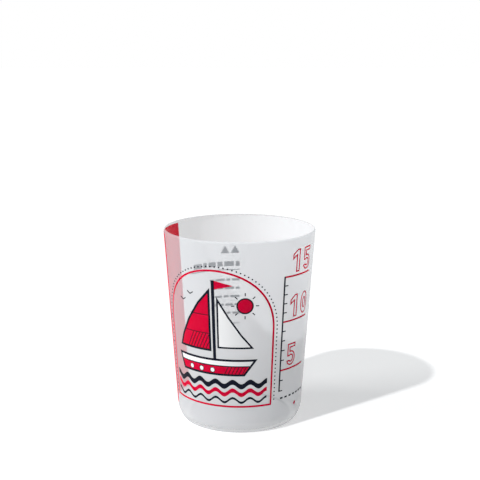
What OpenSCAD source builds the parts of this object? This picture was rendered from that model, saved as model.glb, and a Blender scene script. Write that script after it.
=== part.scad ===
// Reusable drinking cup: one moulded, tapered tumbler of frosted plastic, with a thin printed layer outside.
// Z is up and the cup stands on the origin. Azimuth 0 is the front (-Y) and grows towards +X.

/* [Cup] */
// Diameter of the outer wall, carried up to the rim's height
rim_d = 64; // [56:1:90]
// Diameter of the outer wall, carried down to the table
base_d = 52.6; // [44:0.2:56]
// Height of the cup
height = 82; // [78:1:120]
// Thickness of the wall, which the rounded rim also has
wall_t = 1.3; // [1:0.1:2]
// Thickness of the floor
floor_t = 1.8; // [1.2:0.1:3]
// Radius between the floor and the wall inside
inside_r = 3.5; // [2:0.5:6]

/* [Foot] */
// Height at which the outer wall starts to turn in
corner_h = 6; // [4:0.5:7]
// Radius of that turn
corner_r = 11; // [10:0.5:16]
// Radius of the edge that the cup stands on
foot_edge_r = 0.6; // [0.3:0.1:0.9]
// Width of the ring that the cup stands on
foot_w = 2.6; // [2:0.2:4]
// Height of the hollow under the floor
recess_h = 1; // [0.6:0.1:1.4]
// Radius of the moulding gate's mark under the floor
gate_r = 1.2; // [0.8:0.1:2]
// Height of the gate's mark, less than the hollow's
gate_h = 0.4; // [0.2:0.1:0.5]

/* [Printed layer] */
// Thickness of the printed layer
ink_t = 0.1; // [0.08:0.01:0.15]
// Bare height under the rim
top_margin = 0.75; // [0.6:0.05:4]
// Bare height above the turn of the foot
low_margin = 0.6; // [0.4:0.2:2]
// Azimuth at which the plain stripe starts, at the back
stripe_from = -122.5; // [-125:0.5:-120]
// Angle that the stripe covers
stripe_angle = 46.5; // [40:0.5:47]

/* [Picture] */
// Azimuth of the middle of the picture
picture_az = -20.5; // [-21:0.5:-19]
// Width of the arched frame
frame_w = 50; // [49:0.5:50.5]
// Height of the frame's lower edge
frame_low = 12; // [9:0.5:12]
// Height at which the frame's straight sides end
frame_spring = 45.5; // [45.5:0.5:50]
// Width of the frame's line
frame_line = 0.8; // [0.5:0.1:1.2]
// Radius of each dot around the frame
dot_r = 0.32; // [0.2:0.02:0.36]
// Distance from dot to dot
dot_pitch = 1.7; // [1.6:0.1:3]
// Clear distance from the frame to the dots
dot_gap = 0.9; // [0.6:0.1:1]
// Width of the picture's dark outlines
outline = 0.9; // [0.6:0.1:1]
// Width of its thin lines and hatching
fine_line = 0.28; // [0.24:0.02:0.4]
// Length of one wave
wave_pitch = 7.5; // [6:0.5:10]
// Height of a wave over its middle
wave_amp = 1; // [0.6:0.1:1.2]

/* [Scale] */
// Azimuth of the middle of the scale
scale_az = 52; // [51:1:56]
// Largest filling on the scale, in centilitres
scale_max = 15; // [10:5:15]
// Height of the figures
figure_h = 9.6; // [6:0.2:10.4]
// Width of one figure
figure_w = 5.8; // [4.4:0.1:6.2]
// Width of the figures' outline
figure_line = 0.55; // [0.45:0.05:0.6]

/* [Back print] */
// Azimuth of the middle of the print at the back
back_az = -157; // [-160:1:-155]
// Width of the print at the back
back_w = 23.4; // [20:0.2:24]

/* [Hidden] */
$fn = 180;
rim_r = rim_d / 2;
base_r = base_d / 2;
// Lean of the wall, and its outer radius at a height
lean = atan((rim_r - base_r) / height);
function wall_r(z) = base_r + (rim_r - base_r) * z / height;
function inner_r(z) = wall_r(z) - wall_t / cos(lean);
// Directions square to the wall and along it, in the section's plane
wall_out = [cos(lean), -sin(lean)];
// Rounded rim, as thick as the wall
lip_r = wall_t / 2;
lip_z = height - lip_r;
lip_at = [wall_r(lip_z) - lip_r / cos(lean), lip_z];
// Turn of the foot
turn_at = [wall_r(corner_h), corner_h] - corner_r * wall_out;
turn_end_r = turn_at.x + sqrt(pow(corner_r, 2) - pow(turn_at.y, 2));
foot_edge_x = turn_at.x + sqrt(pow(corner_r - foot_edge_r, 2) - pow(turn_at.y - foot_edge_r, 2));
foot_edge_at = [foot_edge_x, foot_edge_r];
foot_edge_out = (foot_edge_at - turn_at) / (corner_r - foot_edge_r);
recess_r = foot_edge_x - foot_w;
recess_draft = 0.5;
// Floor and the radius inside
floor_z = recess_h + floor_t;
inside_z = floor_z + inside_r;
inside_at = [inner_r(inside_z) - inside_r / cos(lean), inside_z];
// Printed layer
print_low = corner_h + low_margin;
print_top = lip_z - top_margin;
// Radius at which lengths along the print are true
true_r = wall_r(height / 2);
// A point of a flat drawing, s along the print and z up, as seen square on to the cup
function wrap(s, z) = [wall_r(z) * sin(s / true_r * 180 / PI), z];
function wrapped(points) = [for (p = points) wrap(p.x, p.y)];
// A drawn outline moved inwards by w. Its points run anticlockwise.
function unit(v) = v / norm(v);
function left_of(v) = [-v.y, v.x];
function inset(points, w) = let (n = len(points)) [
    for (i = [0 : n - 1])
        let (before = left_of(unit(points[i] - points[(i + n - 1) % n])))
        let (after = left_of(unit(points[(i + 1) % n] - points[i])))
        points[i] + w * (before + after) / (1 + before * after)
];
// Filling: volume in cubic millimetres up to a height, and the height for a volume in centilitres
function filled(z) = PI / 3 * (z - floor_z) * (pow(inner_r(floor_z), 2) + inner_r(floor_z) * inner_r(z) + pow(inner_r(z), 2));
function level(cl, low = floor_z, high = height, tries = 20) =
    let (middle = (low + high) / 2)
    tries == 0 ? middle : filled(middle) > cl * 10000 ? level(cl, low, middle, tries - 1) : level(cl, middle, high, tries - 1);

// Cup

module corner_waste(edge_a, corner, edge_b, centre, r) {
    difference() {
        polygon([edge_a, corner, edge_b]);
        translate(centre) circle(r);
    }
}

module cavity_section() {
    lip_inside = lip_at - lip_r * wall_out;
    difference() {
        polygon([
            [0, floor_z], [inner_r(floor_z), floor_z], lip_inside,
            [lip_inside.x, height + 1], [0, height + 1]
        ]);
        corner_waste(
            [inside_at.x, floor_z], [inner_r(floor_z), floor_z], inside_at + inside_r * wall_out,
            inside_at, inside_r
        );
    }
}

module foot_section() {
    difference() {
        union() {
            square([turn_at.x, corner_h]);
            intersection() {
                translate(turn_at) circle(corner_r);
                square([rim_r, corner_h]);
            }
        }
        difference() {
            polygon([
                [foot_edge_x, -1], [turn_end_r + foot_edge_r, -1],
                turn_at + (corner_r + foot_edge_r) * foot_edge_out, foot_edge_at, [foot_edge_x, 0]
            ]);
            translate(foot_edge_at) circle(foot_edge_r);
        }
        polygon([[0, -1], [recess_r, -1], [recess_r, 0], [recess_r - recess_draft, recess_h], [0, recess_h]]);
    }
}

module cup_section() {
    difference() {
        union() {
            foot_section();
            polygon([
                [0, corner_h], [wall_r(corner_h), corner_h],
                lip_at + lip_r * wall_out, lip_at - lip_r * wall_out, [0, lip_z]
            ]);
            translate(lip_at) circle(lip_r);
        }
        cavity_section();
    }
}

module cup() {
    color("ghostwhite") {
        rotate_extrude() cup_section();
        translate([0, 0, recess_h - gate_h]) cylinder(r = gate_r, h = gate_h + floor_t / 2);
    }
}

// Printed layer

module ink_section() {
    polygon([
        [wall_r(print_low), print_low], [wall_r(print_low) + ink_t, print_low],
        [wall_r(print_top) + ink_t, print_top], [wall_r(print_top), print_top]
    ]);
}

// A flat drawing, wrapped onto the wall around an azimuth
module on_wall(azimuth) {
    intersection() {
        rotate_extrude() ink_section();
        rotate([0, 0, azimuth]) rotate([90, 0, 0]) linear_extrude(height = rim_d) children();
    }
}

module shape(points) {
    polygon(wrapped(points));
}

module outlined(points, w) {
    n = len(points);
    polygon(
        points = wrapped(concat(points, inset(points, w))),
        paths = [[for (i = [0 : n - 1]) i], [for (i = [0 : n - 1]) n + i]]
    );
}

module bar(s_from, s_to, z_from, z_to) {
    shape([[s_from, z_from], [s_to, z_from], [s_to, z_to], [s_from, z_to]]);
}

// Points of a round shape
function ring(s, z, r, n = 32) = [for (i = [0 : n - 1]) [s + r * cos(360 * i / n), z + r * sin(360 * i / n)]];

// A straight stroke from a to b
module stroke(a, b, w) {
    side = left_of(unit(b - a)) * w / 2;
    shape([a - side, b - side, b + side, a + side]);
}

// Picture: an arched frame with a sailing boat on waves
frame_half = frame_w / 2;
ARCH_STEPS = 36;
function arch(half) = concat(
    [[-half, frame_low], [half, frame_low]],
    [for (i = [0 : ARCH_STEPS]) [half * cos(180 * i / ARCH_STEPS), frame_spring + half * sin(180 * i / ARCH_STEPS)]]
);
dots_half = frame_half + dot_gap + dot_r;
dots_side = frame_spring - frame_low;
dots_round = PI * dots_half;
dots_count = floor((2 * dots_side + dots_round) / dot_pitch);
// A point of the dotted line, at a length along it from its lower left end
function dot_at(l) =
    l < dots_side ? [-dots_half, frame_low + l]
    : l < dots_side + dots_round ? let (turn = 180 * (l - dots_side) / dots_round)
        [-dots_half * cos(turn), frame_spring + dots_half * sin(turn)]
    : [dots_half, frame_spring - (l - dots_side - dots_round)];

hull_low = 25.8;
hull_top = 33;
hull = [[-16.8, hull_low], [12.6, hull_low], [18, hull_top], [-19.4, hull_top]];
hull_band = 30.2;
portholes = [-11.6, -6.4, -1.2];
porthole_r = 0.9;
mast_s = 0;
mast_w = 1.3;
mast_top = 66;
sail_low = 36;
sail_gap = 0.7;
main_s = mast_s - mast_w / 2 - sail_gap;
main_sail = [[main_s, sail_low], [main_s, 62.8], [-6.9, 56.4], [-12.2, 48.6], [-16, 41.6], [-18.2, sail_low]];
jib_s = mast_s + mast_w / 2 + sail_gap;
jib = [[jib_s, sail_low + 1.6], [16.4, sail_low + 1.6], [11.4, 43.6], [6.5, 50.8], [jib_s, 59.4]];
pennant = [[mast_s + mast_w / 2, 62.4], [8, 64.2], [mast_s + mast_w / 2, mast_top]];
sun_s = 12.6;
sun_z = 55.8;
sun_r = 2.8;
sun_rays = 8;
ray_gap = 0.8;
ray_l = 1.3;
gulls = [[-14.6, 56], [-10.4, 59.2]];
gull_w = 3;
gull_h = 1;
seams = [43.4, 51.2];
hatch_pitch = 1.5;
sail_hatch = [-13, -4];
hull_hatch = [4, 12];
// Waves: height of each row's middle, and its thickness
navy_waves = [[22.2, 2.2], [15.2, 1]];
red_wave = [18.6, 1.8];
wave_half = frame_half - 2.5;
wave_steps = ceil(2 * wave_half / wave_pitch * 10);
function wave_line(z) = [
    for (i = [0 : wave_steps])
        let (s = -wave_half + 2 * wave_half * i / wave_steps)
        [s, z + wave_amp * cos(360 * s / wave_pitch)]
];
function reversed(list) = [for (i = [len(list) - 1 : -1 : 0]) list[i]];

module wave(row) {
    shape(concat(wave_line(row[0] - row[1] / 2), reversed(wave_line(row[0] + row[1] / 2))));
}

// Slanting fine lines between two distances along the print
module hatch(s_from, s_to, z_from, z_to) {
    for (s = [s_from : hatch_pitch : s_to])
        stroke([s, z_from], [s + (z_to - z_from) / 2, z_to], fine_line);
}

module sail_lines() {
    for (z = seams) bar(-18, main_s, z, z + fine_line);
    hatch(sail_hatch[0], sail_hatch[1], sail_low, seams[0]);
}

module hull_inside(z_from, z_to) {
    intersection() {
        shape(inset(hull, outline));
        bar(-20, 20, z_from, z_to);
    }
}

module hull_lines() {
    hatch(hull_hatch[0], hull_hatch[1], hull_low, hull_band);
}

module red_picture() {
    outlined(arch(frame_half), frame_line);
    wave(red_wave);
    difference() {
        shape(inset(main_sail, outline));
        sail_lines();
    }
    difference() {
        hull_inside(hull_low, hull_band - outline / 2);
        hull_lines();
        for (s = portholes) shape(ring(s, (hull_low + hull_band) / 2, porthole_r + fine_line));
    }
    shape(pennant);
    shape(ring(sun_s, sun_z, sun_r));
}

module navy_picture() {
    for (row = navy_waves) wave(row);
    outlined(hull, outline);
    hull_inside(hull_band - outline / 2, hull_band);
    intersection() {
        hull_inside(hull_low, hull_band - outline / 2);
        difference() {
            hull_lines();
            for (s = portholes) shape(ring(s, (hull_low + hull_band) / 2, porthole_r + fine_line));
        }
    }
    for (s = portholes) outlined(ring(s, (hull_low + hull_band) / 2, porthole_r + fine_line), fine_line);
    bar(mast_s - mast_w / 2, mast_s + mast_w / 2, hull_top, mast_top);
    outlined(main_sail, outline);
    intersection() {
        shape(inset(main_sail, outline));
        sail_lines();
    }
    outlined(jib, outline * 0.8);
    outlined(ring(sun_s, sun_z, sun_r + fine_line * 2), fine_line * 2);
    for (i = [0 : sun_rays - 1]) {
        out = [cos(360 * i / sun_rays), sin(360 * i / sun_rays)];
        from = [sun_s, sun_z] + (sun_r + fine_line * 2 + ray_gap) * out;
        stroke(from, from + ray_l * out, fine_line * 1.4);
    }
    for (at = gulls) {
        stroke(at + [-gull_w / 2, gull_h], at, fine_line * 1.4);
        stroke(at, at + [gull_w / 2, gull_h], fine_line * 1.4);
    }
}

module white_picture() {
    shape(inset(jib, outline * 0.8));
    hull_inside(hull_band, hull_top);
    for (s = portholes) shape(ring(s, (hull_low + hull_band) / 2, porthole_r));
}

// Scale: a spine with a tick for each centilitre, and figures that stand on each fifth
scale_min = 3;
spine_s = -8.4;
spine_w = 0.7;
tick_l = 2.2;
tick_w = 0.45;
long_tick_w = 0.7;
figure_s = spine_s + 3.6;
figure_gap = 1;
figure_lift = 1.3;
figures_end = figure_s + 2 * figure_w + figure_gap;
// Clear height over the figures, up to the next line or the edge of the print
figure_clear = 0.8;
// The figures' height, or less where the lines lie close together or the rim is near
figure_fit = min(
    figure_h,
    level(scale_max) - level(scale_max - 5) - figure_lift - long_tick_w / 2 - figure_clear,
    print_top - level(scale_max) - figure_lift - figure_clear
);
row_s = spine_s + 1.2;
row_z = 13.6;
row_dash = 1.5;
row_pitch = 2.7;
mark_s = 3.4;
mark_z = 9.4;
mark_r = 1;

// Figures, drawn in a box one wide and one high, anticlockwise
ONE = [[0.42, 0], [0.78, 0], [0.78, 1], [0.5, 1], [0.06, 0.8], [0.06, 0.56], [0.42, 0.7]];
ZERO_STEPS = 24;
// Upright oval for a nought: half width a, half height b
function oval(a, b) = [
    for (i = [0 : ZERO_STEPS - 1])
        let (turn = 360 * (i + 0.5) / ZERO_STEPS)
        [0.5 + a * cos(turn), 0.5 + (b - a) * sign(sin(turn)) + a * sin(turn)]
];
BOWL_STEPS = 10;
// Bowl of a five: half width a, half height b, from one angle to another
function bowl(a, b, from, to) = [
    for (i = [0 : BOWL_STEPS])
        let (turn = from + (to - from) * i / BOWL_STEPS)
        [0.46 + a * cos(turn), 0.33 + b * sin(turn)]
];
FIVE = concat(
    bowl(0.48, 0.33, 200, 460),
    [[0.38, 0.8], [0.92, 0.8], [0.92, 1], [0.08, 1], [0.08, 0.42], [0.3, 0.42]],
    bowl(0.18, 0.13, 130, -150)
);
function placed(points, s, z) = [for (p = points) [s + p.x * figure_w, z + p.y * figure_fit]];

module figure(value, s, z) {
    if (value == 1) outlined(placed(ONE, s, z), figure_line);
    if (value == 5) outlined(placed(FIVE, s, z), figure_line);
    if (value == 0) {
        outlined(placed(oval(0.46, 0.5), s, z), figure_line);
        outlined(placed(oval(0.2, 0.26), s, z), figure_line);
    }
}

module number(value, z) {
    tens = floor(value / 10);
    if (tens > 0) figure(tens, figure_s, z);
    figure(value % 10, figure_s + (tens > 0 ? figure_w + figure_gap : 0), z);
}

module red_scale() {
    for (cl = [5 : 5 : scale_max]) {
        bar(spine_s + spine_w, figures_end, level(cl) - long_tick_w / 2, level(cl) + long_tick_w / 2);
        number(cl, level(cl) + figure_lift);
    }
    shape(ring(mark_s, mark_z, mark_r, 4));
}

module navy_scale() {
    bar(spine_s, spine_s + spine_w, level(scale_min) - tick_w / 2, level(scale_max) + long_tick_w / 2);
    for (cl = [scale_min : scale_max])
        if (cl % 5 != 0)
            bar(spine_s + spine_w, spine_s + tick_l, level(cl) - tick_w / 2, level(cl) + tick_w / 2);
    for (i = [0 : 6]) bar(row_s + i * row_pitch, row_s + i * row_pitch + row_dash, row_z, row_z + tick_w * 1.6);
}

// Back print: rules, blocks and rows of dashes, which show through the front
back_edge = -back_w / 2;
block_z = 64;
block_h = 3.4;
heading_z = 58;
heading_h = 2.2;
back_rules = [[56.4, 1], [31.6, 0.54]];
back_rule_w = 0.4;
rows_top = 51.8;
rows_pitch = 3.85;
row_h = 1;
row_ends = [13.6, 12, 12.6, 11.8, 12.4];
dashes = [3.4, 1.7, 4.2, 2.3];
dash_gap = 0.8;

// Dashes from the left edge to a length, in turn from the list
module dash_row(z, h, length, from = 0, turn = 0) {
    end = min(from + dashes[turn % len(dashes)], length);
    if (length - from > dash_gap) {
        bar(back_edge + from, back_edge + end, z, z + h);
        dash_row(z, h, length, end + dash_gap, turn + 1);
    }
}

module back_drawing() {
    for (i = [0 : 1])
        shape([
            [back_edge + i * 4.4, block_z], [back_edge + i * 4.4 + 3.8, block_z],
            [back_edge + i * 4.4 + 1.9, block_z + block_h]
        ]);
    dash_row(heading_z, heading_h, back_w * 0.94, 0, 1);
    for (rule = back_rules)
        bar(back_edge, back_edge + back_w * rule[1], rule[0] - back_rule_w / 2, rule[0] + back_rule_w / 2);
    for (i = [0 : len(row_ends) - 1])
        dash_row(rows_top - i * rows_pitch - row_h / 2, row_h, row_ends[i], 0, i);
}

module frame_dots() {
    intersection() {
        rotate_extrude() ink_section();
        for (i = [0 : dots_count]) {
            at = dot_at((i + 0.5) * dot_pitch);
            if (at.y > frame_low && i < dots_count)
                rotate([0, 0, picture_az + at.x / true_r * 180 / PI])
                    translate([0, 0, at.y]) rotate([90, 0, 0]) cylinder(r = dot_r, h = rim_d);
        }
    }
}

module red_stripe() {
    color("crimson") rotate([0, 0, stripe_from - 90]) rotate_extrude(angle = stripe_angle) ink_section();
}

module red_print() {
    color("crimson") {
        on_wall(picture_az) red_picture();
        on_wall(scale_az) red_scale();
    }
}

module navy_print() {
    color("midnightblue") {
        on_wall(picture_az) navy_picture();
        frame_dots();
        on_wall(scale_az) navy_scale();
    }
}

module white_print() {
    color("white") on_wall(picture_az) white_picture();
}

module back_print() {
    color("midnightblue") on_wall(back_az) back_drawing();
}

cup();
red_stripe();
red_print();
navy_print();
white_print();
back_print();
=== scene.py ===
from math import atan, ceil, cos, floor, pi, radians, sin, sqrt, tau

import bpy
from bpy.props import FloatProperty, FloatVectorProperty, IntProperty, PointerProperty
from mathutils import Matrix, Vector


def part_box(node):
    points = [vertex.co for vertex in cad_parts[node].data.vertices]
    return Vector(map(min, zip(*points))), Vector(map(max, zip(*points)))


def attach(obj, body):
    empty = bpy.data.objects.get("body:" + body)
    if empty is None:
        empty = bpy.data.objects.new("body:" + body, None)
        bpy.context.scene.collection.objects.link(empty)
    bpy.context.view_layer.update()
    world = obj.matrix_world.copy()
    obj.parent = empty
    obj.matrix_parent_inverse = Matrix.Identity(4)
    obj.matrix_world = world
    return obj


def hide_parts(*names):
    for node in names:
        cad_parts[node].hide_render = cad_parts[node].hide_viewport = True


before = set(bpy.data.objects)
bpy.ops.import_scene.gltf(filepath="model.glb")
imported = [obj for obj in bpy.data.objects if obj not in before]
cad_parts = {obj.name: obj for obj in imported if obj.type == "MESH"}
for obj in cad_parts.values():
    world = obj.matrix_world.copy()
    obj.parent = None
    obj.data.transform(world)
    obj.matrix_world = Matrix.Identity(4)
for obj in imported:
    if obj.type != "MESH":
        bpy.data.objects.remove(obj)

bl_info = {
    "name": "Frosted Cup Maker",
    "version": (1, 0, 0),
    "blender": (4, 5, 0),
    "location": "View3D > Sidebar > Cup",
    "description": "Models a frosted drinking cup, its printed layer and a white studio",
    "category": "Object",
}

MM = 0.001
CUP_LOW, CUP_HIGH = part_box("cup")
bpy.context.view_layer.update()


def length(name, description, default):
    return FloatProperty(name=name, description=description, default=default, unit="LENGTH",
                         precision=5)


def turn(name, description, default):
    return FloatProperty(name=name, description=description, default=radians(default),
                         unit="ROTATION")


def share(name, description, default):
    return FloatProperty(name=name, description=description, default=default, min=0, max=1,
                         subtype="FACTOR")


def colour(name, description, default):
    return FloatVectorProperty(name=name, description=description, default=default, size=3,
                               min=0, max=1, subtype="COLOR")


def direction(name, description, default):
    return FloatVectorProperty(name=name, description=description, default=default, size=3,
                               subtype="DIRECTION")


def power(name, description, default):
    return FloatProperty(name=name, description=description, default=default, min=0)


# Settings

class CupSizes(bpy.types.PropertyGroup):
    height: length("Height", "From the table to the top of the rim", CUP_HIGH.z)
    rim_radius: length("Rim radius", "Outer face of the wall, carried up to the rim", 32 * MM)
    base_radius: length("Base radius", "Outer face of the wall, carried down to the table",
                        26.3 * MM)
    wall: length("Wall", "Thickness of the wall and of the rounded rim", 1.3 * MM)
    floor: length("Floor", "Thickness of the floor", 1.8 * MM)
    inside_radius: length("Inside radius", "Radius between the floor and the wall", 3.5 * MM)
    turn_height: length("Turn height", "Where the outer wall starts to turn in", 6 * MM)
    turn_radius: length("Turn radius", "Radius of that turn", 11 * MM)
    foot_edge: length("Foot edge", "Radius of the edge that the cup stands on", 0.6 * MM)
    foot_width: length("Foot width", "Width of the ring that the cup stands on", 2.6 * MM)
    recess: length("Recess", "Height of the hollow under the floor", 1 * MM)
    recess_edge: length("Recess edge", "Radius at the hollow's corners", 0.35 * MM)
    gate_radius: length("Gate radius", "Radius of the moulding gate's mark", 1.2 * MM)
    gate_height: length("Gate height", "Height of the moulding gate's mark", 0.4 * MM)
    segments: IntProperty(name="Segments", description="Steps round the cup", default=192,
                          min=24, max=512)


class PrintSizes(bpy.types.PropertyGroup):
    ink_inside: length("Bite", "How far the ink reaches into the wall", 0.02 * MM)
    ink_outside: length("Ink", "How far the ink stands out of the wall", 0.05 * MM)
    overprint: length("Overprint", "How far the dark ink stands over the others", 0.02 * MM)
    strip: length("Strip", "Width of the strips that bend round the wall", 1.2 * MM)
    outline: length("Outline", "Width of the picture's dark outlines", 0.9 * MM)
    fine_line: length("Fine line", "Width of thin lines and hatching", 0.28 * MM)
    stripe_low: length("Stripe foot", "Height of the plain stripe's lower edge", 6.6 * MM)
    stripe_high: length("Stripe top", "Height of the plain stripe's upper edge", 80.6 * MM)
    stripe_from: turn("Stripe start", "Azimuth of the stripe's edge at the back", -122.5)
    stripe_angle: turn("Stripe angle", "Angle that the stripe covers", 46.5)
    picture_at: turn("Picture place", "Azimuth of the middle of the picture", -20.5)
    scale_at: turn("Scale place", "Azimuth of the middle of the scale", 52)
    back_at: turn("Back place", "Azimuth of the middle of the back print", -157)


class PrintColours(bpy.types.PropertyGroup):
    red: colour("Red", "Red ink", (0.88, 0.0, 0.035))
    navy: colour("Navy", "Dark ink", (0.004, 0.006, 0.015))
    white: colour("White", "White ink", (0.93, 0.93, 0.93))
    roughness: share("Roughness", "Roughness of the inks", 0.42)
    red_glow: share("Red glow", "How much light soaks through the red ink", 1)
    soak: length("Soak", "How far light soaks into that ink", 0.5 * MM)


class PlasticFinish(bpy.types.PropertyGroup):
    tint: colour("Tint", "Colour of the frosted plastic", (0.88, 0.905, 0.94))
    outside_alpha: share("Outer haze", "How much the outer face hides", 0.37)
    inside_alpha: share("Inner haze", "How much the inner face hides", 0.08)
    lamp_alpha: share("Lamp haze", "How much lamp light the outer face stops", 0.95)
    roughness: share("Roughness", "Roughness of the plastic", 0.5)
    grain: length("Grain", "Depth of the frosted grain", 0.012 * MM)


class StageLight(bpy.types.PropertyGroup):
    sky: power("Sky", "Strength of the even light from all round", 0.15)
    sky_colour: colour("Sky colour", "Colour of that light", (0.8, 0.92, 1.0))
    sun: power("Sun", "Strength of the main lamp", 2.4)
    sun_size: turn("Sun size", "Apparent size of the main lamp, which softens the shadow", 2.2)
    sun_towards: direction("Sun direction", "Where the main lamp's light goes",
                           (0.7825, 0.7009, -1.0))
    fill: power("Fill", "Strength of the broad lamp on the left", 1.3)
    fill_size: turn("Fill size", "Apparent size of the broad lamp", 30)
    fill_towards: direction("Fill direction", "Where the broad lamp's light goes", (1.0, 0.1, -0.6))
    floor_grey: share("Floor", "How much light the floor shows", 0.68)
    floor_bounce: share("Floor bounce", "How much light the floor throws on the cup", 0.7)
    floor_glow: share("Floor glow", "White that the floor shows of its own", 0.55)
    # Painted shadow on the floor as seen through the plastic: an even tone, darker by the cup, that
    # stands in for the floor and its real shadow.
    blur_near: share("Near tone", "Tone of the floor by the cup, seen through the plastic", 0.8)
    blur_far: share("Far tone", "Tone of the floor further off, seen through the plastic", 0.95)
    blur_start: length("Near distance", "From the cup's axis to where the near tone ends", 25 * MM)
    blur_end: length("Far distance", "From the cup's axis to where the far tone starts", 130 * MM)
    lens: FloatProperty(name="Lens", description="Focal length in millimetres", default=75, min=10)
    camera_back: length("Camera distance", "From the cup's axis, along the floor", 0.4132)
    camera_side: length("Camera side", "To the right of the cup's axis", 0.0002)
    camera_height: length("Camera height", "Above the floor", 0.1627)
    camera_down: turn("Camera tilt", "Below level", 11.8)


# Shape of the wall

# Steps along each arc of the section
GATE_STEPS = 3
HOLLOW_STEPS = 5
RING_STEPS = 4
FOOT_STEPS = 6
TURN_STEPS = 14
LIP_STEPS = 14
INSIDE_STEPS = 10


def wall_radius(sizes, z):
    return sizes.base_radius + (sizes.rim_radius - sizes.base_radius) * z / sizes.height


def lean(sizes):
    return atan((sizes.rim_radius - sizes.base_radius) / sizes.height)


def arc(centre, radius, start, end, steps):
    """Points (r, z) of an arc between two angles."""
    angles = [start + (end - start) * i / steps for i in range(steps + 1)]
    return [centre + radius * Vector((cos(a), sin(a))) for a in angles]


def cup_section(sizes):
    """The cup's section as points (r, z), from the axis underneath, round the outside, to the axis
    on the floor."""
    tilt = lean(sizes)
    outwards = Vector((cos(tilt), -sin(tilt)))

    def inner_radius(z):
        return wall_radius(sizes, z) - sizes.wall / cos(tilt)

    lip = sizes.wall / 2
    lip_z = sizes.height - lip
    lip_at = Vector((wall_radius(sizes, lip_z) - lip / cos(tilt), lip_z))
    turn_start = Vector((wall_radius(sizes, sizes.turn_height), sizes.turn_height))
    turn_at = turn_start - sizes.turn_radius * outwards
    reach = sizes.turn_radius - sizes.foot_edge
    drop = turn_at.y - sizes.foot_edge
    foot_at = Vector((turn_at.x + sqrt(reach ** 2 - drop ** 2), sizes.foot_edge))
    foot_angle = -atan(drop / (foot_at.x - turn_at.x))
    recess_r = foot_at.x - sizes.foot_width
    edge = sizes.recess_edge
    small_edge = edge / 2
    inside_z = sizes.recess + sizes.floor + sizes.inside_radius
    inside_at = Vector((inner_radius(inside_z) - sizes.inside_radius / cos(tilt), inside_z))

    gate_bottom = sizes.recess - sizes.gate_height
    points = [Vector((0, gate_bottom))]
    gate_at = Vector((sizes.gate_radius - small_edge, gate_bottom + small_edge))
    points += arc(gate_at, small_edge, -pi / 2, 0, GATE_STEPS)
    points += [Vector((sizes.gate_radius, sizes.recess))]
    points += arc(Vector((recess_r - edge, sizes.recess - edge)), edge, pi / 2, 0, HOLLOW_STEPS)
    ring_at = Vector((recess_r + small_edge, small_edge))
    points += arc(ring_at, small_edge, pi, 3 * pi / 2, RING_STEPS)
    points += arc(foot_at, sizes.foot_edge, -pi / 2, foot_angle, FOOT_STEPS)
    points += arc(turn_at, sizes.turn_radius, foot_angle, -tilt, TURN_STEPS)[1:]
    points += arc(lip_at, lip, -tilt, pi - tilt, LIP_STEPS)
    points += arc(inside_at, sizes.inside_radius, -tilt, -pi / 2, INSIDE_STEPS)
    points += [Vector((0, sizes.recess + sizes.floor))]
    return points


# Modelling

def deselect():
    if bpy.context.object is not None and bpy.context.object.mode != "OBJECT":
        bpy.ops.object.mode_set(mode="OBJECT")
    bpy.ops.object.select_all(action="DESELECT")


def pick(*pieces):
    """Only these objects are selected, and the first is active."""
    deselect()
    for piece in pieces:
        piece.select_set(True)
    bpy.context.view_layer.objects.active = pieces[0]


def edit(piece):
    pick(piece)
    bpy.ops.object.mode_set(mode="EDIT")
    bpy.ops.mesh.select_all(action="SELECT")


def leave_edit():
    bpy.ops.object.mode_set(mode="OBJECT")


def apply_modifier(piece, kind, **settings):
    pick(piece)
    modifier = piece.modifiers.new(kind.title(), kind)
    for name, value in settings.items():
        setattr(modifier, name, value)
    bpy.ops.object.modifier_apply(modifier=modifier.name)


def drawn(points):
    """A flat face with these corners (s along the print, z up), anticlockwise as seen from
    outside."""
    deselect()
    bpy.ops.mesh.primitive_circle_add(vertices=len(points), fill_type="NGON")
    shape = bpy.context.active_object
    for vertex, (s, z) in zip(shape.data.vertices, points):
        vertex.co = (s, 0, z)
    return shape


def drawn_outline(points, width):
    """The same, left as a line of this width along its edge."""
    shape = drawn(points)
    edit(shape)
    bpy.ops.mesh.inset(thickness=width, use_even_offset=True)
    bpy.ops.mesh.delete(type="FACE")
    leave_edit()
    return shape


def finish_piece(piece, name, slot, node, *materials):
    piece.name = name
    piece.data.name = name
    piece.data.materials.clear()
    for material in materials:
        piece.data.materials.append(material)
    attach(piece, "root")
    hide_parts(node)
    deselect()
    return piece


def printed(shapes, name, slot, node, material, azimuth, over=0.0):
    """Joins flat shapes, bends them round the wall and gives them the ink's thickness."""
    sizes = bpy.context.scene.cup_sizes
    prints = bpy.context.scene.cup_print
    pick(*shapes)
    bpy.ops.object.join()
    piece = bpy.context.active_object
    reach = [vertex.co.x / prints.strip for vertex in piece.data.vertices]
    edit(piece)
    for i in range(floor(min(reach)), ceil(max(reach)) + 1):
        bpy.ops.mesh.select_all(action="SELECT")
        bpy.ops.mesh.bisect(plane_co=(i * prints.strip, 0, 0), plane_no=(1, 0, 0))
    leave_edit()
    true_radius = wall_radius(sizes, sizes.height / 2)
    for vertex in piece.data.vertices:
        angle = azimuth + vertex.co.x / true_radius
        radius = wall_radius(sizes, vertex.co.z) - prints.ink_inside + over
        vertex.co = (radius * sin(angle), -radius * cos(angle), vertex.co.z)
    piece.data.update()
    apply_modifier(piece, "SOLIDIFY", thickness=prints.ink_inside + prints.ink_outside, offset=1)
    piece.visible_shadow = False
    return finish_piece(piece, name, slot, node, material)


# Flat shapes, as points (s, z)

def oblong(left, right, low, high):
    return [(left, low), (right, low), (right, high), (left, high)]


def ring(s, z, radius, steps=32):
    angles = [tau * i / steps for i in range(steps)]
    return [(s + radius * cos(angle), z + radius * sin(angle)) for angle in angles]


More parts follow.
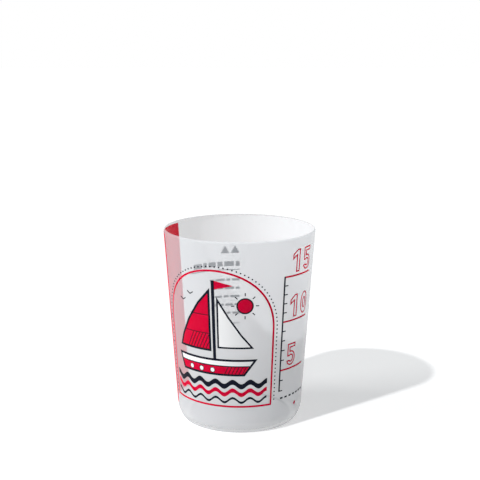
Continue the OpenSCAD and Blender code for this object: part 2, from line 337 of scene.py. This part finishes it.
def stroke(start, end, width):
    """A straight line with square ends."""
    start, end = Vector(start), Vector(end)
    along = (end - start).normalized()
    side = Vector((-along.y, along.x)) * width / 2
    return [start - side, end - side, end + side, start + side]


def inset(points, width):
    """The outline moved inwards."""
    moved = []
    for i, point in enumerate(points):
        point = Vector(point)
        before = (point - Vector(points[i - 1])).normalized()
        after = (Vector(points[(i + 1) % len(points)]) - point).normalized()
        before, after = Vector((-before.y, before.x)), Vector((-after.y, after.x))
        moved.append(point + width * (before + after) / (1 + before.dot(after)))
    return moved


# Materials

PLASTIC_IOR = 1.49
PLASTIC_SHEEN = 0.2
PLASTIC_GRAIN = (0.5 * MM, 3)    # size and detail of a noise
INK_SHEEN = 0.06
INK_SOAK = (1, 0.5, 0.5)         # how far red, green and blue soak in, against each other
INK_PATCH = (0.9 * MM, 4)        # patches where the coat is thinner
INK_GRAIN = (0.25 * MM, 2)
INK_BUMP = 0.004 * MM
THIN_COAT = 0.0036               # white that shows through such a patch
SHADES_FROM, SHADES_TO = 0.35, 0.65    # where the noise starts and stops to change the shade


def new_material(name, base, roughness):
    material = bpy.data.materials.new(name)
    material.use_nodes = True
    shader = material.node_tree.nodes["Principled BSDF"]
    shader.inputs["Base Color"].default_value = (*base, 1)
    shader.inputs["Roughness"].default_value = roughness
    return material, shader


def add_noise(material, size, detail):
    """Noise on the piece's own coordinates, with features of about this size."""
    nodes, links = material.node_tree.nodes, material.node_tree.links
    place = nodes.new("ShaderNodeTexCoord")
    noise = nodes.new("ShaderNodeTexNoise")
    noise.inputs["Scale"].default_value = 1 / size
    noise.inputs["Detail"].default_value = detail
    links.new(place.outputs["Object"], noise.inputs["Vector"])
    return noise


def add_bump(material, shader, height, distance):
    nodes, links = material.node_tree.nodes, material.node_tree.links
    bump = nodes.new("ShaderNodeBump")
    bump.inputs["Strength"].default_value = 1
    bump.inputs["Distance"].default_value = distance
    links.new(height, bump.inputs["Height"])
    links.new(bump.outputs["Normal"], shader.inputs["Normal"])


def add_shades(material, shader, factor, dark, light):
    """Base colour that runs from dark to light with factor."""
    nodes, links = material.node_tree.nodes, material.node_tree.links
    ramp = nodes.new("ShaderNodeValToRGB")
    stops = zip(ramp.color_ramp.elements, (SHADES_FROM, SHADES_TO), (dark, light))
    for stop, position, shade in stops:
        stop.position = position
        stop.color = (*shade, 1)
    links.new(factor, ramp.inputs["Fac"])
    links.new(ramp.outputs["Color"], shader.inputs["Base Color"])


def frosted(name, finish, alpha, lamp_alpha):
    """Milky plastic with a fine matt grain, which lets some of what is behind it show."""
    material, shader = new_material(name, finish.tint, finish.roughness)
    shader.inputs["Alpha"].default_value = alpha
    if lamp_alpha != alpha:
        nodes, links = material.node_tree.nodes, material.node_tree.links
        path = nodes.new("ShaderNodeLightPath")
        hides = nodes.new("ShaderNodeMapRange")
        hides.inputs["To Min"].default_value = alpha
        hides.inputs["To Max"].default_value = lamp_alpha
        links.new(path.outputs["Is Shadow Ray"], hides.inputs["Value"])
        links.new(hides.outputs["Result"], shader.inputs["Alpha"])
    shader.inputs["IOR"].default_value = PLASTIC_IOR
    shader.inputs["Specular IOR Level"].default_value = PLASTIC_SHEEN
    grain = add_noise(material, *PLASTIC_GRAIN)
    add_bump(material, shader, grain.outputs["Fac"], finish.grain)
    return material


def ink(name, base, roughness, glow, soak):
    """Printed ink: a slightly uneven coat with a silky face, through which some light may soak."""
    material, shader = new_material(name, base, roughness)
    shader.inputs["Subsurface Weight"].default_value = glow
    shader.inputs["Subsurface Radius"].default_value = INK_SOAK
    shader.inputs["Subsurface Scale"].default_value = soak
    shader.inputs["Specular IOR Level"].default_value = INK_SHEEN
    cover = add_noise(material, *INK_PATCH)
    add_shades(material, shader, cover.outputs["Fac"], base, [part + THIN_COAT for part in base])
    grain = add_noise(material, *INK_GRAIN)
    add_bump(material, shader, grain.outputs["Fac"], INK_BUMP)
    return material


def ink_named(name):
    """The ink of this colour, made once."""
    made = bpy.data.materials.get("printed_" + name)
    if made is not None:
        return made
    colours = bpy.context.scene.cup_colours
    glow = colours.red_glow if name == "red" else 0.0
    return ink("printed_" + name, getattr(colours, name), colours.roughness, glow, colours.soak)


# Cup

ON_AXIS = 1e-7
WELD = 1e-6
SMOOTH_BELOW = radians(35)


class MouldCup(bpy.types.Operator):
    """Spin the cup's section into the moulded body"""
    bl_idname = "cup.mould_body"
    bl_label = "Mould the cup"

    def execute(self, context):
        sizes = context.scene.cup_sizes
        finish = context.scene.cup_finish
        section = cup_section(sizes)
        deselect()
        bpy.ops.mesh.primitive_circle_add(vertices=len(section), fill_type="NOTHING")
        body = context.active_object
        for vertex, point in zip(body.data.vertices, section):
            vertex.co = (point.x, 0, point.y)
        edit(body)
        bpy.ops.mesh.select_all(action="DESELECT")
        bpy.ops.mesh.select_mode(type="EDGE")
        leave_edit()
        for line in body.data.edges:
            ends = [body.data.vertices[i].co for i in line.vertices]
            line.select = max(end.x for end in ends) < ON_AXIS
        bpy.ops.object.mode_set(mode="EDIT")
        bpy.ops.mesh.delete(type="EDGE")
        bpy.ops.mesh.select_all(action="SELECT")
        bpy.ops.mesh.spin(steps=sizes.segments, angle=tau, center=(0, 0, 0), axis=(0, 0, 1))
        bpy.ops.mesh.select_mode(type="VERT")
        bpy.ops.mesh.select_all(action="SELECT")
        bpy.ops.mesh.remove_doubles(threshold=WELD)
        bpy.ops.mesh.normals_make_consistent(inside=False)
        leave_edit()
        for face in body.data.polygons:
            radius = face.center.xy.length
            middle = wall_radius(sizes, face.center.z) - sizes.wall / 2
            above_floor = face.center.z > sizes.recess + sizes.floor / 2
            face.material_index = 1 if above_floor and radius < middle else 0
        bpy.ops.object.shade_smooth_by_angle(angle=SMOOTH_BELOW)
        slots = [face.material_index for face in body.data.polygons]
        finish_piece(body, "moulded_cup", "cup", "cup",
                     frosted("frosted_outside", finish, finish.outside_alpha, finish.lamp_alpha),
                     frosted("frosted_inside", finish, finish.inside_alpha, finish.inside_alpha))
        for face, slot in zip(body.data.polygons, slots):
            face.material_index = slot
        return {"FINISHED"}


# Print

class PrintStripe(bpy.types.Operator):
    """Lay the plain stripe on the wall"""
    bl_idname = "cup.print_stripe"
    bl_label = "Print the stripe"

    def execute(self, context):
        sizes = context.scene.cup_sizes
        prints = context.scene.cup_print
        half = prints.stripe_angle * wall_radius(sizes, sizes.height / 2) / 2
        stripe = drawn(oblong(-half, half, prints.stripe_low, prints.stripe_high))
        middle = prints.stripe_from + prints.stripe_angle / 2
        printed([stripe], "plain_stripe", "red_ink", "red_stripe", ink_named("red"), middle)
        return {"FINISHED"}


FRAME_HALF = 25 * MM
FRAME_LOW = 12 * MM
FRAME_SPRING = 45.5 * MM
FRAME_LINE = 0.8 * MM
DOT_RADIUS = 0.32 * MM
DOT_PITCH = 1.7 * MM
DOT_GAP = 0.9 * MM
DOT_STEPS = 12
WAVE_PITCH = 7.5 * MM
WAVE_AMP = 1 * MM
WAVE_HALF = FRAME_HALF - 2.5 * MM
RED_WAVE = (18.6 * MM, 1.8 * MM)                            # height of its middle, width
NAVY_WAVES = ((22.2 * MM, 2.2 * MM), (15.2 * MM, 1 * MM))
HULL_LOW = 25.8 * MM
HULL_TOP = 33 * MM
HULL_BAND = 30.2 * MM
HULL = [(-16.8 * MM, HULL_LOW), (12.6 * MM, HULL_LOW),
        (18 * MM, HULL_TOP), (-19.4 * MM, HULL_TOP)]
HULL_HATCH = (4 * MM, 12 * MM)                              # where the first and last strokes start
HULL_HATCH_END = 14.2 * MM
PORTHOLES = (-11.6 * MM, -6.4 * MM, -1.2 * MM)
PORTHOLE_RADIUS = 0.9 * MM
MAST_WIDTH = 1.3 * MM
MAST_TOP = 66 * MM
SAIL_LOW = 36 * MM
SAIL_GAP = 0.7 * MM
MAIN_S = -MAST_WIDTH / 2 - SAIL_GAP
JIB_S = MAST_WIDTH / 2 + SAIL_GAP
MAIN_SAIL = [(MAIN_S, SAIL_LOW), (MAIN_S, 62.8 * MM), (-6.9 * MM, 56.4 * MM),
             (-12.2 * MM, 48.6 * MM), (-16 * MM, 41.6 * MM), (-18.2 * MM, SAIL_LOW)]
JIB_LOW = SAIL_LOW + 1.6 * MM
JIB = [(JIB_S, JIB_LOW), (16.4 * MM, JIB_LOW), (11.4 * MM, 43.6 * MM),
       (6.5 * MM, 50.8 * MM), (JIB_S, 59.4 * MM)]
JIB_LINE = 0.8                                              # of the other outlines' width
PENNANT = [(MAST_WIDTH / 2, 62.4 * MM), (8 * MM, 64.2 * MM), (MAST_WIDTH / 2, MAST_TOP)]
SUN = (12.6 * MM, 55.8 * MM)
SUN_RADIUS = 2.8 * MM
SUN_STEPS = 48
SUN_RAYS = 8
RAY_GAP = 0.8 * MM
RAY_LENGTH = 1.3 * MM
GULLS = ((-14.6 * MM, 56 * MM), (-10.4 * MM, 59.2 * MM))
WING_SPAN, WING_RISE = 1.5 * MM, 1 * MM
SKETCH_LINE = 1.4                                           # of a fine line's width
SEAMS = ((-14.9 * MM, 43.4 * MM), (-10.7 * MM, 51.2 * MM))  # left end, height
SAIL_HATCH = (-13 * MM, -3 * MM)
SAIL_HATCH_TOP = SEAMS[0][1]
HATCH_PITCH = 1.5 * MM
HATCH_SLOPE = 2                                             # rise against run
ROUNDING = 1e-9
PORTHOLE_OVER = (1.2, 1.4)      # how far glass and rims stand out, against the dark ink


def arch(half):
    """Arched outline with straight sides."""
    steps = 48
    angles = [pi * i / steps for i in range(steps + 1)]
    top = [(half * cos(angle), FRAME_SPRING + half * sin(angle)) for angle in angles]
    return [(-half, FRAME_LOW), (half, FRAME_LOW)] + top


def dots_round_arch():
    """Middles of the dots outside the frame, from its lower left end."""
    half = FRAME_HALF + DOT_GAP + DOT_RADIUS
    side = FRAME_SPRING - FRAME_LOW
    round_length = pi * half
    count = floor((2 * side + round_length) / DOT_PITCH)
    places = []
    for i in range(count):
        along = (i + 0.5) * DOT_PITCH
        if along < side:
            places.append((-half, FRAME_LOW + along))
        elif along < side + round_length:
            angle = (along - side) / half
            places.append((-half * cos(angle), FRAME_SPRING + half * sin(angle)))
        else:
            places.append((half, FRAME_SPRING - (along - side - round_length)))
    return places


def wave(middle, width):
    """A wavy band across the frame."""
    steps = 80
    line = [-WAVE_HALF + 2 * WAVE_HALF * i / steps for i in range(steps + 1)]

    def at(s, offset):
        return (s, middle + offset + WAVE_AMP * cos(tau * s / WAVE_PITCH))

    return [at(s, -width / 2) for s in line] + [at(s, width / 2) for s in reversed(line)]


def hatching(first, last, low, high, limit, width):
    """Slanting strokes that stop at a limit to their right."""
    strokes = []
    s = first
    while s <= last + ROUNDING:
        end = s + (high - low) / HATCH_SLOPE
        top = high if end <= limit else low + (limit - s) * HATCH_SLOPE
        strokes.append(drawn(stroke((s, low), (min(end, limit), top), width)))
        s += HATCH_PITCH
    return strokes


def hull_part(width, low, high):
    """The part of the hull between two heights, inside an outline of this width."""
    corners = inset(HULL, width / 2)
    slopes = [(corners[above][0] - corners[below][0]) / (corners[above][1] - corners[below][1])
              for below, above in ((0, 3), (1, 2))]

    def side(i, z):
        return (corners[i][0] + slopes[i] * (z - corners[i][1]), z)

    return [side(0, low), side(1, low), side(1, high), side(0, high)]


class PrintPicture(bpy.types.Operator):
    """Draw the sailing boat in its arched frame and wrap it on the wall"""
    bl_idname = "cup.print_picture"
    bl_label = "Print the picture"

    def execute(self, context):
        prints = context.scene.cup_print
        line, fine = prints.outline, prints.fine_line
        sketch = SKETCH_LINE * fine
        band_top, band_low = HULL_BAND - line / 4, HULL_LOW + line / 2
        sail_right = MAIN_S - line / 2

        red = [drawn_outline(arch(FRAME_HALF), FRAME_LINE)]
        red.append(drawn(wave(*RED_WAVE)))
        red.append(drawn(inset(MAIN_SAIL, line / 2)))
        red.append(drawn(hull_part(line, band_low, band_top)))
        red.append(drawn(PENNANT))
        red.append(drawn(ring(*SUN, SUN_RADIUS + fine)))

        white = [drawn(inset(JIB, line / 2))]
        white.append(drawn(hull_part(line, band_top, HULL_TOP - line / 2)))

        navy = [drawn(wave(*place)) for place in NAVY_WAVES]
        navy += [drawn(ring(s, z, DOT_RADIUS, DOT_STEPS)) for s, z in dots_round_arch()]
        navy.append(drawn_outline(HULL, line))
        navy.append(drawn(hull_part(line, HULL_BAND - line / 2, HULL_BAND)))
        navy += hatching(*HULL_HATCH, band_low, band_top, HULL_HATCH_END, fine)
        navy.append(drawn(oblong(-MAST_WIDTH / 2, MAST_WIDTH / 2, HULL_TOP, MAST_TOP)))
        navy.append(drawn_outline(MAIN_SAIL, line))
        navy.append(drawn_outline(JIB, line * JIB_LINE))
        navy += hatching(*SAIL_HATCH, SAIL_LOW + line / 2, SAIL_HATCH_TOP, sail_right, fine)
        for left, z in SEAMS:
            navy.append(drawn(oblong(left, sail_right, z, z + fine)))
        navy.append(drawn_outline(ring(*SUN, SUN_RADIUS + 2 * fine, SUN_STEPS), 2 * fine))
        for i in range(SUN_RAYS):
            out = Vector((cos(tau * i / SUN_RAYS), sin(tau * i / SUN_RAYS)))
            start = Vector(SUN) + (SUN_RADIUS + 2 * fine + RAY_GAP) * out
            navy.append(drawn(stroke(start, start + RAY_LENGTH * out, sketch)))
        for s, z in GULLS:
            navy.append(drawn(stroke((s - WING_SPAN, z + WING_RISE), (s, z), sketch)))
            navy.append(drawn(stroke((s, z), (s + WING_SPAN, z + WING_RISE), sketch)))

        ports = [(s, (HULL_LOW + HULL_BAND) / 2) for s in PORTHOLES]
        glass = [drawn(ring(*port, PORTHOLE_RADIUS)) for port in ports]
        rims = [drawn_outline(ring(*port, PORTHOLE_RADIUS + fine), fine) for port in ports]

        at, over = prints.picture_at, prints.overprint
        glass_over, rim_over = (over * part for part in PORTHOLE_OVER)
        printed(red, "picture_red", "red_ink", "red_print", ink_named("red"), at)
        printed(white, "picture_white", "white_ink", "white_print", ink_named("white"), at)
        printed(navy, "picture_navy", "navy_ink", "navy_print", ink_named("navy"), at, over)
        printed(glass, "porthole_glass", "white_ink", "white_print", ink_named("white"), at,
                glass_over)
        printed(rims, "porthole_rims", "navy_ink", "navy_print", ink_named("navy"), at, rim_over)
        return {"FINISHED"}


SPINE_S = -8.4 * MM
SPINE_WIDTH = 0.7 * MM
TICK_END = SPINE_S + 2.2 * MM
TICK_WIDTH = 0.45 * MM
LONG_TICK_WIDTH = 0.7 * MM
FIGURE_HEIGHT = 9.6 * MM
FIGURE_WIDTH = 5.8 * MM
FIGURE_LINE = 0.55 * MM
FIGURE_GAP = 1 * MM
FIGURE_LIFT = 1.3 * MM
FIGURE_S = SPINE_S + 3.6 * MM
FIGURES_END = FIGURE_S + 2 * FIGURE_WIDTH + FIGURE_GAP
SCALE_MIN = 3
SCALE_MAX = 15
FIGURES_EVERY = 5
CENTILITRE = 1e-5
ROW_Z = 13.6 * MM
ROW_START = 1.2 * MM
ROW_PITCH = 2.7 * MM
ROW_DASH = 1.5 * MM
ROW_HEIGHT = 1.6 * TICK_WIDTH
ROW_COUNT = 7
MARK = (3.4 * MM, 9.4 * MM)
MARK_RADIUS = 1 * MM
MARK_CORNERS = 4
FILL_HALVINGS = 30


def fill_height(sizes, centilitres):
    """Height of the surface when the cup holds this much."""
    floor_z = sizes.recess + sizes.floor

    def inner(z):
        return wall_radius(sizes, z) - sizes.wall / cos(lean(sizes))

    def held(z):
        low, high = inner(floor_z), inner(z)
        return pi / 3 * (z - floor_z) * (low * low + low * high + high * high)

    low, high = floor_z, sizes.height
    for _ in range(FILL_HALVINGS):
        middle = (low + high) / 2
        if held(middle) > centilitres * CENTILITRE:
            high = middle
        else:
            low = middle
    return low


def oval(half_width, half_height):
    """Upright oval of a nought, in a box one wide and one high, as are the figures below."""
    steps = 48
    points = []
    for i in range(steps):
        angle = tau * (i + 0.5) / steps
        side = 1 if sin(angle) > 0 else -1
        points.append((0.5 + half_width * cos(angle),
                       0.5 + (half_height - half_width) * side + half_width * sin(angle)))
    return points


def bowl(half_width, half_height, start, end):
    """Curved side of a five, between two angles in degrees."""
    steps = 24
    middle = Vector((0.46, 0.33))
    angles = [radians(start + (end - start) * i / steps) for i in range(steps + 1)]
    return [middle + Vector((half_width * cos(a), half_height * sin(a))) for a in angles]


ONE = [(0.42, 0), (0.78, 0), (0.78, 1), (0.5, 1), (0.06, 0.8), (0.06, 0.56), (0.42, 0.7)]
FIVE = (bowl(0.48, 0.33, 200, 460)
        + [(0.38, 0.8), (0.92, 0.8), (0.92, 1), (0.08, 1), (0.08, 0.42), (0.3, 0.42)]
        + bowl(0.18, 0.13, 130, -150))
FIGURES = {0: [oval(0.46, 0.5), oval(0.2, 0.26)], 1: [ONE], 5: [FIVE]}


def number(value, z):
    """The outlined figures of a number that stands at a height."""
    shapes = []
    s = FIGURE_S
    for figure in str(value):
        for outline in FIGURES[int(figure)]:
            points = [(s + x * FIGURE_WIDTH, z + y * FIGURE_HEIGHT) for x, y in outline]
            shapes.append(drawn_outline(points, FIGURE_LINE))
        s += FIGURE_WIDTH + FIGURE_GAP
    return shapes


class PrintScale(bpy.types.Operator):
    """Draw the filling scale at the heights that its volumes reach"""
    bl_idname = "cup.print_scale"
    bl_label = "Print the scale"

    def execute(self, context):
        sizes = context.scene.cup_sizes
        prints = context.scene.cup_print
        spine_right = SPINE_S + SPINE_WIDTH
        spine_low = fill_height(sizes, SCALE_MIN) - TICK_WIDTH / 2
        spine_high = fill_height(sizes, SCALE_MAX) + LONG_TICK_WIDTH / 2
        red = [drawn(ring(*MARK, MARK_RADIUS, MARK_CORNERS))]
        navy = [drawn(oblong(SPINE_S, spine_right, spine_low, spine_high))]
        for centilitres in range(SCALE_MIN, SCALE_MAX + 1):
            z = fill_height(sizes, centilitres)
            if centilitres % FIGURES_EVERY == 0:
                half = LONG_TICK_WIDTH / 2
                red.append(drawn(oblong(spine_right, FIGURES_END, z - half, z + half)))
                red += number(centilitres, z + FIGURE_LIFT)
            else:
                half = TICK_WIDTH / 2
                navy.append(drawn(oblong(spine_right, TICK_END, z - half, z + half)))
        for i in range(ROW_COUNT):
            left = SPINE_S + ROW_START + i * ROW_PITCH
            navy.append(drawn(oblong(left, left + ROW_DASH, ROW_Z, ROW_Z + ROW_HEIGHT)))
        printed(red, "scale_red", "red_ink", "red_print", ink_named("red"), prints.scale_at)
        printed(navy, "scale_navy", "navy_ink", "navy_print", ink_named("navy"), prints.scale_at)
        return {"FINISHED"}


BACK_WIDTH = 23.4 * MM
BLOCKS = 2
BLOCK_PITCH = 4.4 * MM
BLOCK_WIDTH = 3.8 * MM
BLOCK_LOW, BLOCK_HIGH = 64 * MM, 67.4 * MM
HEADING = (58 * MM, 2.2 * MM, 0.94 * BACK_WIDTH)            # lower edge, height, right end
BACK_RULES = ((56.4 * MM, BACK_WIDTH), (31.6 * MM, 0.54 * BACK_WIDTH))
RULE_WIDTH = 0.4 * MM
ROWS_TOP = 51.3 * MM
ROWS_PITCH = 3.85 * MM
ROW_LINE = 1 * MM
ROW_ENDS = (13.6 * MM, 12 * MM, 12.6 * MM, 11.8 * MM, 12.4 * MM)
DASHES = (3.4 * MM, 1.7 * MM, 4.2 * MM, 2.3 * MM)
DASH_GAP = 0.8 * MM


def dash_row(z, height, reach, first):
    """A row of dashes of changing length, from the print's left edge."""
    shapes = []
    left = -BACK_WIDTH / 2
    start, count = 0.0, first
    while reach - start > DASH_GAP:
        end = min(start + DASHES[count % len(DASHES)], reach)
        shapes.append(drawn(oblong(left + start, left + end, z, z + height)))
        start = end + DASH_GAP
        count += 1
    return shapes


class PrintBack(bpy.types.Operator):
    """Draw the rules, blocks and rows of dashes at the back"""
    bl_idname = "cup.print_back"
    bl_label = "Print the back"

    def execute(self, context):
        prints = context.scene.cup_print
        left = -BACK_WIDTH / 2
        shapes = []
        for i in range(BLOCKS):
            s = left + i * BLOCK_PITCH
            shapes.append(drawn([(s, BLOCK_LOW), (s + BLOCK_WIDTH, BLOCK_LOW),
                                 (s + BLOCK_WIDTH / 2, BLOCK_HIGH)]))
        shapes += dash_row(*HEADING, 1)
        for z, reach in BACK_RULES:
            shapes.append(drawn(oblong(left, left + reach, z - RULE_WIDTH / 2, z + RULE_WIDTH / 2)))
        for i, reach in enumerate(ROW_ENDS):
            shapes += dash_row(ROWS_TOP - i * ROWS_PITCH, ROW_LINE, reach, i)
        printed(shapes, "back_lines", "navy_ink", "back_print", ink_named("navy"), prints.back_at)
        return {"FINISHED"}


# Studio

FLOOR_SIZE = 8
LAMP_PLACE = (-0.5, -0.5, 0.6)
SENSOR_WIDTH = 36
CLIP_START = 0.01
CLIP_END = 20


def seen_directly(nodes, links):
    """1 for rays from the camera and for those that gloss or glass sends on, else 0."""
    path = nodes.new("ShaderNodeLightPath")
    seen = path.outputs["Is Camera Ray"]
    for name in ("Is Glossy Ray", "Is Transmission Ray"):
        either = nodes.new("ShaderNodeMath")
        either.operation = "MAXIMUM"
        links.new(seen, either.inputs[0])
        links.new(path.outputs[name], either.inputs[1])
        seen = either.outputs["Value"]
    return seen


def seen_through(nodes, links):
    """1 for camera rays that have come through the frosted plastic, else 0."""
    path = nodes.new("ShaderNodeLightPath")
    both = nodes.new("ShaderNodeMath")
    both.operation = "MULTIPLY"
    both.use_clamp = True
    links.new(path.outputs["Transparent Depth"], both.inputs[0])
    links.new(path.outputs["Is Camera Ray"], both.inputs[1])
    return both.outputs["Value"]


def blurred_floor(nodes, links, light):
    """The floor without sharp edges, with a painted shadow that makes it a little darker by the cup.
    """
    place = nodes.new("ShaderNodeTexCoord")
    away = nodes.new("ShaderNodeVectorMath")
    away.operation = "LENGTH"
    links.new(place.outputs["Object"], away.inputs[0])
    tone = nodes.new("ShaderNodeMapRange")
    tone.interpolation_type = "SMOOTHSTEP"
    tone.inputs["From Min"].default_value = light.blur_start
    tone.inputs["From Max"].default_value = light.blur_end
    tone.inputs["To Min"].default_value = light.blur_near
    tone.inputs["To Max"].default_value = light.blur_far
    links.new(away.outputs["Value"], tone.inputs["Value"])
    shown = nodes.new("ShaderNodeEmission")
    links.new(tone.outputs["Result"], shown.inputs["Strength"])
    return shown.outputs["Emission"]


def floor_material(light):
    """Pale floor that looks white where it is lit, keeps the shadow and shows a painted shadow through
    the cup.
    """
    material = bpy.data.materials.new("white_floor")
    material.use_nodes = True
    nodes, links = material.node_tree.nodes, material.node_tree.links
    nodes.remove(nodes["Principled BSDF"])
    seen = seen_directly(nodes, links)
    matt = nodes.new("ShaderNodeBsdfDiffuse")
    grey = nodes.new("ShaderNodeMapRange")
    grey.inputs["To Min"].default_value = light.floor_bounce
    grey.inputs["To Max"].default_value = light.floor_grey
    links.new(seen, grey.inputs["Value"])
    links.new(grey.outputs["Result"], matt.inputs["Color"])
    glow = nodes.new("ShaderNodeEmission")
    strength = nodes.new("ShaderNodeMath")
    strength.operation = "MULTIPLY"
    strength.inputs[1].default_value = light.floor_glow
    links.new(seen, strength.inputs[0])
    links.new(strength.outputs["Value"], glow.inputs["Strength"])
    both = nodes.new("ShaderNodeAddShader")
    links.new(matt.outputs["BSDF"], both.inputs[0])
    links.new(glow.outputs["Emission"], both.inputs[1])
    # Camera rays that come through the plastic see the painted shadow tone in place of the lit floor
    # and its real shadow.
    either = nodes.new("ShaderNodeMixShader")
    links.new(seen_through(nodes, links), either.inputs["Fac"])
    links.new(both.outputs["Shader"], either.inputs[1])
    links.new(blurred_floor(nodes, links, light), either.inputs[2])
    links.new(either.outputs["Shader"], nodes["Material Output"].inputs["Surface"])
    return material


def light_world(light):
    """Even light from all round, and plain white where it is looked at."""
    world = bpy.data.worlds.new("white_studio")
    world.use_nodes = True
    nodes, links = world.node_tree.nodes, world.node_tree.links
    sky = nodes["Background"]
    sky.inputs["Color"].default_value = (*light.sky_colour, 1)
    sky.inputs["Strength"].default_value = light.sky
    white = nodes.new("ShaderNodeBackground")
    white.inputs["Color"].default_value = (1, 1, 1, 1)
    white.inputs["Strength"].default_value = 1
    either = nodes.new("ShaderNodeMixShader")
    links.new(seen_directly(nodes, links), either.inputs["Fac"])
    links.new(sky.outputs["Background"], either.inputs[1])
    links.new(white.outputs["Background"], either.inputs[2])
    links.new(either.outputs["Shader"], nodes["World Output"].inputs["Surface"])
    bpy.context.scene.world = world


def add_lamp(name, strength, size, towards):
    bpy.ops.object.light_add(type="SUN", location=LAMP_PLACE)
    lamp = bpy.context.active_object
    lamp.name = name
    lamp.data.energy = strength
    lamp.data.angle = size
    lamp.rotation_euler = Vector(towards).to_track_quat("-Z", "Y").to_euler()


class LightStage(bpy.types.Operator):
    """Lay the floor and set the light and the camera"""
    bl_idname = "cup.light_stage"
    bl_label = "Set the studio"

    def execute(self, context):
        light = context.scene.cup_light
        deselect()
        bpy.ops.mesh.primitive_plane_add(size=FLOOR_SIZE, location=(0, 0, CUP_LOW.z))
        ground = context.active_object
        ground.name = "studio_floor"
        ground.data.materials.append(floor_material(light))
        light_world(light)
        add_lamp("studio_sun", light.sun, light.sun_size, light.sun_towards)
        add_lamp("studio_fill", light.fill, light.fill_size, light.fill_towards)
        bpy.ops.object.camera_add(
            location=(light.camera_side, -light.camera_back, light.camera_height),
            rotation=(pi / 2 - light.camera_down, 0, 0))
        camera = context.active_object
        camera.name = "studio_camera"
        camera.data.lens = light.lens
        camera.data.sensor_width = SENSOR_WIDTH
        camera.data.clip_start = CLIP_START
        camera.data.clip_end = CLIP_END
        context.scene.camera = camera
        context.scene.view_settings.view_transform = "Standard"
        deselect()
        return {"FINISHED"}


class CupPanel(bpy.types.Panel):
    """Buttons and settings of the cup"""
    bl_idname = "VIEW3D_PT_frosted_cup"
    bl_label = "Frosted Cup"
    bl_space_type = "VIEW_3D"
    bl_region_type = "UI"
    bl_category = "Cup"

    def draw(self, context):
        for operator in OPERATORS:
            self.layout.operator(operator.bl_idname)
        for name in SETTINGS:
            group = getattr(context.scene, name)
            box = self.layout.box()
            for field in group.bl_rna.properties:
                if field.identifier not in ("rna_type", "name"):
                    box.prop(group, field.identifier)


OPERATORS = (MouldCup, PrintStripe, PrintPicture, PrintScale, PrintBack, LightStage)
SETTINGS = {
    "cup_sizes": CupSizes,
    "cup_print": PrintSizes,
    "cup_colours": PrintColours,
    "cup_finish": PlasticFinish,
    "cup_light": StageLight,
}


def register():
    for group in SETTINGS.values():
        bpy.utils.register_class(group)
    for operator in OPERATORS:
        bpy.utils.register_class(operator)
    bpy.utils.register_class(CupPanel)
    for name, group in SETTINGS.items():
        setattr(bpy.types.Scene, name, PointerProperty(type=group))


def unregister():
    for name in SETTINGS:
        delattr(bpy.types.Scene, name)
    bpy.utils.unregister_class(CupPanel)
    for operator in reversed(OPERATORS):
        bpy.utils.unregister_class(operator)
    for group in reversed(SETTINGS.values()):
        bpy.utils.unregister_class(group)


def main():
    register()
    bpy.ops.cup.mould_body()
    bpy.ops.cup.print_stripe()
    bpy.ops.cup.print_picture()
    bpy.ops.cup.print_scale()
    bpy.ops.cup.print_back()
    bpy.ops.cup.light_stage()


if __name__ == "__main__":
    main()
